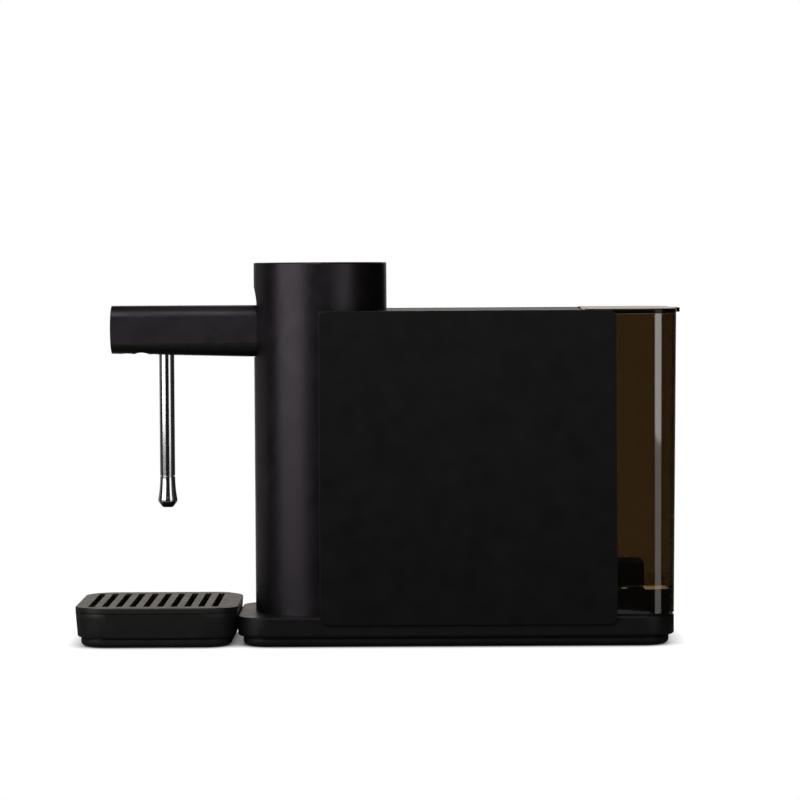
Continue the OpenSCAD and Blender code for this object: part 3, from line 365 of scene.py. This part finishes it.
def board(slot, color, rough):
    """Circuit board with traces under green solder mask."""
    mat = new_material(slot, color, rough)
    traces = noise(mat, 900, 0, (1, 1, 0.08))
    vary_color(mat, traces, (0.008, 0.07, 0.02), (0.02, 0.16, 0.06))
    emboss(mat, traces, 0.03, 0.5)
    return mat


TOWER_BLACK = (0.0012, 0.0010, 0.0013)
PURPLE_SHEEN = {"Specular_Tint": (1.0, 0.86, 1.0, 1.0)}
DULL = {"Specular_IOR_Level": 0.3}
# kind, colour, roughness, other settings
FINISHES = {
    "tower_black": (coated, TOWER_BLACK, 0.36, PURPLE_SHEEN),
    "arm_black": (coated, TOWER_BLACK, 0.42, {"Specular_IOR_Level": 0.55, **PURPLE_SHEEN}),
    "dial_black": (coated, TOWER_BLACK, 0.36, PURPLE_SHEEN),
    "panel_black": (
        coated, (0.0030, 0.0026, 0.0032), 0.44,
        {"grain_mm": 0.01, "grain": 1800, "Specular_IOR_Level": 0.2},
    ),
    "base_black": (moulded, (0.0025, 0.0025, 0.0025), 0.42, DULL),
    # The tray's plastic is the base's made three times lighter: painted light for the key light that falls
    # more on the tray.
    "tray_black": (moulded, (0.0075, 0.0072, 0.0072), 0.42, DULL),
    "plinth_black": (moulded, (0.0025, 0.0025, 0.0025), 0.5, DULL),
    "housing_black": (moulded, (0.003, 0.003, 0.0032), 0.45, {}),
    "hatch_black": (moulded, (0.003, 0.003, 0.0032), 0.4, {}),
    "inner_black": (moulded, (0.012, 0.012, 0.012), 0.5, {}),
    "underside_black": (
        moulded, (0.0015, 0.0014, 0.0016), 0.46, {"grain_mm": 0.01, "Specular_IOR_Level": 0.25},
    ),
    "nozzle_black": (moulded, (0.003, 0.003, 0.003), 0.3, {"grain_mm": 0.004}),
    "grille_black": (
        moulded, (0.008, 0.0062, 0.0048), 0.44, {"grain_mm": 0.012, "Specular_IOR_Level": 0.42},
    ),
    "lid_black": (moulded, (0.001, 0.001, 0.001), 0.2, {"grain_mm": 0.002, **DULL}),
    "lens_black": (coated, (0.004, 0.004, 0.005), 0.08, {"grain_mm": 0.001, "spread": 0.02}),
    "inner_white": (moulded, (0.62, 0.62, 0.6), 0.45, {}),
    "cast_alloy": (machined, (0.42, 0.42, 0.44), 0.5, {"stretch": (1, 1, 1), "scale": 700}),
    "steel": (machined, (0.62, 0.62, 0.64), 0.28, {}),
    "chrome": (polished, (0.82, 0.82, 0.84), 0.1, {}),
    "bronze": (machined, (0.55, 0.36, 0.16), 0.4, {}),
    "pump_metal": (machined, (0.45, 0.4, 0.3), 0.35, {"stretch": (0.05, 1, 1)}),
    "rubber": (rubbery, (0.012, 0.012, 0.012), 0.8, {}),
    "gasket": (rubbery, (0.28, 0.03, 0.02), 0.55, {}),
    "hose": (rubbery, (0.55, 0.53, 0.5), 0.5, {}),
    "board_green": (board, (0.01, 0.09, 0.03), 0.35, {}),
    "smoked_clear": (smoked, (0.215, 0.155, 0.085), 0.03, {}),
}
# Nodes with another finish than their slot's own. The tray's bowl and plinth take the lighter copy of the
# base's plastic, which is painted light for the key light on the tray.
FINISH_OF_NODE = {"drip_tray": "tray_black", "tray_plinth": "tray_black", "filter_box": "housing_black"}


def dress_nodes():
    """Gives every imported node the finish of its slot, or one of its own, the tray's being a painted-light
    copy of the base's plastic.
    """
    materials = {
        name: make(name, color, rough, **settings)
        for name, (make, color, rough, settings) in FINISHES.items()
    }
    finish_of = {p["node"]: p["material_slot"] for p in frame["record"]["subparts"]}
    finish_of.update(FINISH_OF_NODE)
    for name, node in nodes.items():
        node.data.materials.clear()
        node.data.materials.append(materials[finish_of[name]])


# ---------- edges ----------

EDGE_ANGLE = math.radians(28)
EDGE_STEPS = 2
WELD_REACH = 1e-6
SOFT_EDGES_MM = {
    "base_housing": 0.35, "base_plate": 0.3, "body_housing": 0.4,
    "side_panel_near": 0.45, "side_panel_far": 0.45, "arm_shell": 0.25, "arm_underside": 0.25,
    "spout_nozzle": 0.15, "hatch_lid": 0.3, "hatch_rear_cap": 0.3,
    "dial_knob": 0.12, "tank_lid": 0.3, "filter_box": 0.3, "tank_pedestal": 0.4,
    "drip_tray": 0.3, "tray_plinth": 0.3, "grille": 0.25, "pod_cup": 0.25, "injection_head": 0.25,
    "brew_frame": 0.3, "lever_fork": 0.3, "thermoblock": 0.4, "cord_gland": 0.2, "base_feet": 0.3,
    "tray_feet": 0.3,
}


def soften_edges():
    """Rounds the sharp edges of the visible solids a little, as every moulded or machined piece is."""
    for name, radius in SOFT_EDGES_MM.items():
        node = nodes[name]
        weld = node.modifiers.new("weld", "WELD")
        weld.merge_threshold = WELD_REACH
        bevel = node.modifiers.new("edge", "BEVEL")
        bevel.width = radius * MM
        bevel.segments = EDGE_STEPS
        bevel.limit_method = "ANGLE"
        bevel.angle_limit = EDGE_ANGLE
        bevel.use_clamp_overlap = True
        bevel.harden_normals = True


# ---------- spout ----------

SPOUT_X = -139.75 * MM
SPOUT_R = 5.0 * MM
SPOUT_BORE = 4.1 * MM
SPOUT_TOP = 198.2 * MM
SPOUT_JOINT = 108.6 * MM
JOINT_GAP = 0.2 * MM
CHAMFER = 0.15 * MM
FLARE_R = 6.45 * MM
FLARE_LOW = 91.0 * MM
FLARE_BELLY = 93.0 * MM
FLARE_STEPS = 16
LIP_OUT = 0.1 * MM
LIP_IN = 0.7 * MM
LIP_RISE = 0.9 * MM
NOZZLE_R = 5.5 * MM
NOZZLE_TOP = 94.5 * MM
INNER_R = 4.05 * MM
LATHE_SEGMENTS = 144


def lathe(name, profile, body, replaced):
    """Closed ring turned round the spout's axis from (radius, height) points, the outside running upwards."""
    count = len(profile)
    points = []
    faces = []
    for i in range(LATHE_SEGMENTS):
        turn = i * math.tau / LATHE_SEGMENTS
        points += [(SPOUT_X + r * math.cos(turn), r * math.sin(turn), z) for r, z in profile]
        here, there = i * count, (i + 1) % LATHE_SEGMENTS * count
        for k in range(count):
            above = (k + 1) % count
            faces.append((here + k, there + k, there + above, here + above))
    mesh = bpy.data.meshes.new(name)
    mesh.from_pydata(points, [], faces)
    mesh.shade_smooth()
    mesh.set_sharp_from_angle(angle=EDGE_ANGLE)
    piece = bpy.data.objects.new(name, mesh)
    scene.collection.objects.link(piece)
    mesh.materials.append(nodes[replaced].data.materials[0])
    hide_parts(replaced)
    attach(piece, body)


def flare_curve(top):
    """Outside of the flare from its widest point up to the tube, as one arc that ends upright."""
    reach = top - FLARE_BELLY
    widening = FLARE_R - SPOUT_R
    bend = (reach * reach + widening * widening) / (2 * widening)
    drops = [reach * (1 - i / FLARE_STEPS) for i in range(FLARE_STEPS)]
    return [(SPOUT_R + bend - math.sqrt(bend * bend - drop * drop), top - drop) for drop in drops]


def add_spout():
    """Chrome tube and its flared pull-down end, with the joint where the photograph shows it."""
    low = SPOUT_JOINT + JOINT_GAP
    tube = [
        (SPOUT_R - CHAMFER, low), (SPOUT_R, low + CHAMFER),
        (SPOUT_R, SPOUT_TOP - CHAMFER), (SPOUT_R - CHAMFER, SPOUT_TOP),
        (SPOUT_BORE, SPOUT_TOP), (SPOUT_BORE, low),
    ]
    top = SPOUT_JOINT - JOINT_GAP
    flare = [
        (FLARE_R - LIP_IN, FLARE_LOW), (FLARE_R - LIP_OUT, FLARE_LOW + LIP_RISE), *flare_curve(top),
        (SPOUT_R, top - CHAMFER), (SPOUT_R - CHAMFER, top), (INNER_R, top), (INNER_R, NOZZLE_TOP),
        (NOZZLE_R, NOZZLE_TOP), (NOZZLE_R, FLARE_LOW),
    ]
    lathe("spout_tube_chrome", tube, "lever", "spout_tube")
    lathe("spout_flare_chrome", flare, "spout_end", "spout_flare")


# ---------- build ----------

scene.view_settings.view_transform = "Standard"
add_camera()
for softbox, settings in SOFTBOXES.items():
    add_softbox(softbox, *settings)
add_world()
add_floor()
dress_nodes()
soften_edges()
add_spout()
